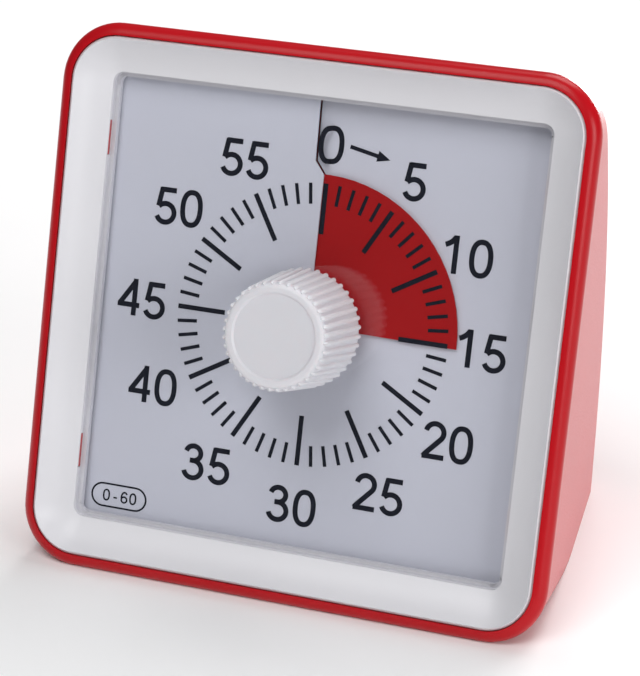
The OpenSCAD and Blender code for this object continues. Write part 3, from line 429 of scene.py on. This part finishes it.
# Ticks on a circle, each lying on the ramp at its own height
def tickTree():
    tree = bpy.data.node_groups.new("tickRing", "GeometryNodeTree")
    for label, kind in tickInputs.items():
        tree.interface.new_socket(label, in_out="INPUT", socket_type=kind)
    tree.interface.new_socket("Geometry", in_out="OUTPUT", socket_type="NodeSocketGeometry")
    given = addNode(tree, "NodeGroupInput").outputs
    index = addNode(tree, "GeometryNodeInputIndex").outputs[0]

    # where each tick stands: round the dial, then up the ramp
    steps = addNode(tree, "ShaderNodeMath", {0: index, 1: given["Step"]}, operation="MULTIPLY").outputs[0]
    angle = addNode(tree, "ShaderNodeMath", {0: steps, 1: given["First angle"]}, operation="ADD").outputs[0]
    turn = addNode(tree, "ShaderNodeMath", {0: angle}, operation="RADIANS").outputs[0]
    sine = addNode(tree, "ShaderNodeMath", {0: turn}, operation="SINE").outputs[0]
    cosine = addNode(tree, "ShaderNodeMath", {0: turn}, operation="COSINE").outputs[0]
    radii = addNode(tree, "ShaderNodeMath", {
        0: given["Inner radius"], 1: given["Outer radius"]}, operation="ADD").outputs[0]
    middle = addNode(tree, "ShaderNodeMath", {0: radii, 1: 0.5}, operation="MULTIPLY").outputs[0]
    across = addNode(tree, "ShaderNodeMath", {0: sine, 1: middle}, operation="MULTIPLY").outputs[0]
    upward = addNode(tree, "ShaderNodeMath", {0: cosine, 1: middle}, operation="MULTIPLY").outputs[0]
    turns = addNode(tree, "ShaderNodeMath", {0: angle, 1: 360.0}, operation="DIVIDE").outputs[0]
    turnsBack = addNode(tree, "ShaderNodeMath", {0: turns, 1: 1.0}, operation="SUBTRACT").outputs[0]
    ramp = addNode(tree, "ShaderNodeMath", {0: given["Climb"], 1: turnsBack}, operation="MULTIPLY").outputs[0]
    high = addNode(tree, "ShaderNodeMath", {0: ramp, 1: given["Height"]}, operation="ADD").outputs[0]
    spot = addNode(tree, "ShaderNodeCombineXYZ", {"X": across, "Y": upward, "Z": high})

    # the bar itself, turned to point at the spindle
    length = addNode(tree, "ShaderNodeMath", {
        0: given["Outer radius"], 1: given["Inner radius"]}, operation="SUBTRACT").outputs[0]
    size = addNode(tree, "ShaderNodeCombineXYZ", {
        "X": given["Width"], "Y": length, "Z": given["Thickness"]})
    bar = addNode(tree, "GeometryNodeMeshCube", {"Size": size.outputs["Vector"]})
    backTurn = addNode(tree, "ShaderNodeMath", {0: turn, 1: -1.0}, operation="MULTIPLY").outputs[0]
    facing = addNode(tree, "ShaderNodeCombineXYZ", {"Z": backTurn})

    # every place but those that are skipped
    order = addNode(tree, "ShaderNodeMath", {0: index, 1: 1.0}, operation="ADD").outputs[0]
    remainder = addNode(tree, "ShaderNodeMath", {
        0: order, 1: given["Skip every"]}, operation="MODULO").outputs[0]
    kept = addNode(tree, "ShaderNodeMath", {0: remainder, 1: 0.5}, operation="GREATER_THAN").outputs[0]

    line = addNode(tree, "GeometryNodeMeshLine", {"Count": given["Count"]})
    placed = addNode(tree, "GeometryNodeSetPosition", {
        "Geometry": line.outputs["Mesh"], "Position": spot.outputs["Vector"]})
    ticks = addNode(tree, "GeometryNodeInstanceOnPoints", {
        "Points": placed.outputs["Geometry"], "Selection": kept,
        "Instance": bar.outputs["Mesh"], "Rotation": facing.outputs["Vector"]})
    solid = addNode(tree, "GeometryNodeRealizeInstances", {"Geometry": ticks.outputs["Instances"]})
    inked = addNode(tree, "GeometryNodeSetMaterial", {
        "Geometry": solid.outputs["Geometry"], "Material": given["Ink"]})
    addNode(tree, "NodeGroupOutput", {"Geometry": inked.outputs["Geometry"]})
    return tree


def meshFromTree(tree, inputs):
    holder = bpy.data.objects.new("holder", bpy.data.meshes.new("holder"))
    bpy.context.scene.collection.objects.link(holder)
    modifier = holder.modifiers.new("tree", "NODES")
    modifier.node_group = tree
    for item in tree.interface.items_tree:
        if item.in_out == "INPUT":
            modifier[item.identifier] = inputs[item.name]
    evaluated = holder.evaluated_get(bpy.context.evaluated_depsgraph_get())
    mesh = bpy.data.meshes.new_from_object(evaluated)
    bpy.data.objects.remove(holder)
    return mesh


ringTree = tickTree()


# direction is 1 clockwise and -1 anticlockwise, and above is the height over the card
def addTicks(name, body, firstAngle, direction, above):
    whole = bmesh.new()
    for kind in ("long", "short"):
        bar = tickRing[kind]
        mesh = meshFromTree(ringTree, {
            "Count": bar["count"], "First angle": firstAngle + direction * bar["first"],
            "Step": direction * bar["step"], "Skip every": bar["skipEvery"],
            "Inner radius": bar["inner"] * scaleUnit, "Outer radius": bar["outer"] * scaleUnit,
            "Width": bar["width"] * scaleUnit, "Thickness": 2 * tickRing["ink"],
            "Climb": face["climb"], "Height": above, "Ink": dialInk})
        whole.from_mesh(mesh)
        bpy.data.meshes.remove(mesh)
    joined = bpy.data.meshes.new(name)
    whole.to_mesh(joined)
    whole.free()
    pieceFromMesh(name, joined, dialInk, body)


addTicks("minuteMarks", "housing", 0.0, 1, 0.0)
addTicks("discMinuteMarks", "disc", degreesPerMinute * face["minutesSet"], -1,
         tickRing["lift"] + tickRing["sheet"])
print("minute marks on card and disc")

digitForm = {
    "height": 0.286,
    "stroke": 0.14,  # share of the height
    "widen": 1.06,
    "labelHeight": 0.093,
}


# A power of 2 gives an ellipse, and more gives squarer shoulders
def arcPoints(centre, radii, start, end, steps=18, power=2.0):
    points = []
    for i in range(steps + 1):
        angle = math.radians(start + (end - start) * i / steps)
        across, up = math.cos(angle), math.sin(angle)
        points.append((centre[0] + radii[0] * math.copysign(abs(across) ** (2 / power), across),
                       centre[1] + radii[1] * math.copysign(abs(up) ** (2 / power), up)))
    return points


# A curve that leaves start and reaches end, drawn towards pull on its way
def bendPoints(start, pull, end, steps=8):
    return [tuple((1 - t) ** 2 * start[k] + 2 * t * (1 - t) * pull[k] + t * t * end[k] for k in (0, 1))
            for t in [i / steps for i in range(steps + 1)]]


# The pen strokes of each sign, in a box one unit high, and whether a stroke closes on itself
twoTop = arcPoints((0.3, 0.7), (0.226, 0.236), 172, -38)
signStrokes = {
    "0": [(arcPoints((0.3, 0.5), (0.236, 0.436), 0, 360, 40, 2.35)[:-1], True)],
    "1": [([(0.36, 0.0), (0.36, 1.0)], False),
          (bendPoints((0.34, 0.955), (0.25, 0.79), (0.085, 0.735)), False)],
    "2": [(twoTop + bendPoints(twoTop[-1], (0.36, 0.42), (0.11, 0.135))[1:] + [(0.045, 0.045)], False),
          ([(0.02, 0.062), (0.58, 0.062)], False)],
    "3": [(arcPoints((0.285, 0.735), (0.2, 0.2), 168, -85), False),
          (arcPoints((0.295, 0.3), (0.238, 0.238), 84, -166), False),
          ([(0.2, 0.537), (0.33, 0.537)], False)],
    "4": [([(0.455, 0.0), (0.455, 1.0)], False),
          ([(0.46, 0.93), (0.065, 0.3)], False),
          ([(0.005, 0.285), (0.6, 0.285)], False)],
    "5": [([(0.14, 0.937), (0.555, 0.937)], False),
          ([(0.178, 0.985), (0.1, 0.485)], False),
          (arcPoints((0.295, 0.315), (0.24, 0.252), 140, -158), False)],
    "6": [(arcPoints((0.305, 0.305), (0.234, 0.242), 0, 360, 28)[:-1], True),
          (arcPoints((0.325, 0.5), (0.255, 0.437), 38, 190), False)],
    "-": [([(0.05, 0.36), (0.35, 0.36)], False)],
}
sharpestCorner = 0.5  # keeps the outer corner of a sharp bend from running out


# A flat bar of ink of constant width along the points, sunk as deep into the card as it stands proud
def addStroke(built, points, closed, width):
    count = len(points)
    ink = tickRing["ink"]
    rows = []
    for i, (x, y) in enumerate(points):
        before = points[i - 1] if i or closed else points[i]
        after = points[(i + 1) % count] if i < count - 1 or closed else points[i]
        first = Vector((x - before[0], y - before[1]))
        second = Vector((after[0] - x, after[1] - y))
        if first.length == 0:
            first = second
        if second.length == 0:
            second = first
        along = (first.normalized() + second.normalized()).normalized()
        reach = width / 2 / max(sharpestCorner, along.dot(first.normalized()))
        side = Vector((-along.y, along.x)) * reach
        rows.append([built.verts.new(onCard(x + k * side.x, y + k * side.y, height))
                     for k, height in ((1, ink), (-1, ink), (-1, -ink), (1, -ink))])
    last = count if closed else count - 1
    for i in range(last):
        a, b = rows[i], rows[(i + 1) % count]
        for k in range(4):
            built.faces.new((a[k], a[(k + 1) % 4], b[(k + 1) % 4], b[k]))
    if not closed:
        built.faces.new(rows[0][::-1])
        built.faces.new(rows[-1])


# Each digit's box is centred on its own place
def addNumber(built, text, centres, height):
    size = height * scaleUnit
    for sign, (cx, cy) in zip(text, centres):
        every = [x for points, closed in signStrokes[sign] for x, y in points]
        middle = (min(every) + max(every)) / 2
        for points, closed in signStrokes[sign]:
            moved = [(cx * scaleUnit + (x - middle) * size * digitForm["widen"],
                      cy * scaleUnit + (y - 0.5) * size) for x, y in points]
            addStroke(built, moved, closed, digitForm["stroke"] * size)


# One place for each digit
numerals = {
    "0": [(0.009, 1.369)],
    "5": [(0.681, 1.173)],
    "10": [(1.008, 0.681), (1.249, 0.675)],
    "15": [(1.195, 0.004), (1.437, -0.009)],
    "20": [(1.052, -0.717), (1.262, -0.724)],
    "25": [(0.562, -1.193), (0.776, -1.201)],
    "30": [(-0.116, -1.395), (0.097, -1.399)],
    "35": [(-0.834, -1.187), (-0.617, -1.191)],
    "40": [(-1.334, -0.645), (-1.119, -0.649)],
    "45": [(-1.490, 0.014), (-1.273, 0.007)],
    "50": [(-1.252, 0.747), (-1.046, 0.751)],
    "55": [(-0.754, 1.185), (-0.547, 1.182)],
}
# From the zero towards the five
arrowMark = {
    "start": (0.15, 1.373),
    "neck": (0.37, 1.328),
    "tip": (0.471, 1.308),
    "width": 0.03,
    "head": 0.042,
}
# Rounded label with the dial's range in plain numbers
rangeLabel = {
    "centre": (-1.42, -1.561),
    "half": (0.227, 0.0895),
    "line": 0.014,
    "text": "0-60",
    "spots": (-0.105, -0.03, 0.045, 0.118),
}


def addArrow(built, mark):
    start, neck, tip = (Vector(mark[k]) * scaleUnit for k in ("start", "neck", "tip"))
    addStroke(built, [tuple(start), tuple(neck)], False, mark["width"] * scaleUnit)
    along = (tip - neck).normalized()
    side = Vector((-along.y, along.x)) * mark["head"] * scaleUnit
    corners = [neck + side, neck - side, tip]
    top, foot = [[built.verts.new(onCard(c.x, c.y, height)) for c in corners]
                 for height in (tickRing["ink"], -tickRing["ink"])]
    built.faces.new(top)
    built.faces.new(foot[::-1])
    for k in range(3):
        built.faces.new((top[k], foot[k], foot[(k + 1) % 3], top[(k + 1) % 3]))


def addRangeLabel(built, label):
    centre, half = Vector(label["centre"]), Vector(label["half"])
    outline = []
    for sideSign, first in ((1, -90), (-1, 90)):
        middle = (centre.x + sideSign * (half.x - half.y), centre.y)
        roundEnd = arcPoints(middle, (half.y, half.y), first, first + 180, 12)
        outline += [tuple(Vector(p) * scaleUnit) for p in roundEnd]
    addStroke(built, outline, True, label["line"] * scaleUnit)
    spots = [(centre.x + dx, centre.y) for dx in label["spots"]]
    addNumber(built, label["text"], spots, digitForm["labelHeight"])


def printDial():
    built = bmesh.new()
    for text, centres in numerals.items():
        addNumber(built, text, centres, digitForm["height"])
    addArrow(built, arrowMark)
    addRangeLabel(built, rangeLabel)
    bmesh.ops.recalc_face_normals(built, faces=built.faces)
    mesh = bpy.data.meshes.new("dialPrint")
    built.to_mesh(mesh)
    built.free()
    pieceFromMesh("dialPrint", mesh, dialInk, "housing")


printDial()
print("dial printed")

stageSetup = {
    "floor": "#f6f6f6",
    "reach": 3.0,
    "paper": {"roughness": 0.8, "grain": 2 * mm, "depth": 0.01 * mm, "spread": 0.01},
    "worldColour": "#f4f5f8",
    "worldStrength": 0.1,
}


def buildStage(setup):
    scene = bpy.context.scene
    scene.view_settings.view_transform = "Standard"
    reach = setup["reach"]
    corners = [(-reach, -reach, 0), (reach, -reach, 0), (reach, reach, 0), (-reach, reach, 0)]
    mesh = bpy.data.meshes.new("floor")
    mesh.from_pydata(corners, [], [(0, 1, 2, 3)])
    floor = bpy.data.objects.new("floor", mesh)
    scene.collection.objects.link(floor)
    # uncoated paper: pale and fully matt
    floor.data.materials.append(grainyFinish("paleBackdropPaper", setup["floor"], **setup["paper"]))
    world = bpy.data.worlds.new("studio")
    scene.world = world
    world.use_nodes = True
    background = world.node_tree.nodes["Background"]
    background.inputs["Color"].default_value = linear(setup["worldColour"])
    background.inputs["Strength"].default_value = setup["worldStrength"]


# None stands where the window would mirror it into the camera
lights = {
    "keyLight": {"place": (-0.15, -0.75, 1.3), "aim": (0, 0, 0.03), "size": 0.9, "power": 11.5},
    "rightFill": {"place": (1.1, -0.55, 0.4), "aim": (0, 0, 0.04), "size": 0.6, "power": 6.5},
    "backdropLight": {"place": (0.15, 0.7, 1.2), "aim": (0, 0.1, 0), "size": 0.8, "power": 10.0},
    "sideGlare": {"place": (0.15, 1.0, 0.1), "aim": (0.04, 0, 0.04), "size": 0.4, "power": 11.5},
}


def addLight(name, setup):
    data = bpy.data.lights.new(name, "AREA")
    data.size = setup["size"]
    data.energy = setup["power"]
    lamp = bpy.data.objects.new(name, data)
    bpy.context.scene.collection.objects.link(lamp)
    away = Vector(setup["place"]) - Vector(setup["aim"])
    turn = away.to_track_quat("Z", "Y").to_matrix().to_4x4()
    lamp.matrix_world = Matrix.Translation(setup["place"]) @ turn


buildStage(stageSetup)
for name, setup in lights.items():
    addLight(name, setup)
print("stage lit")
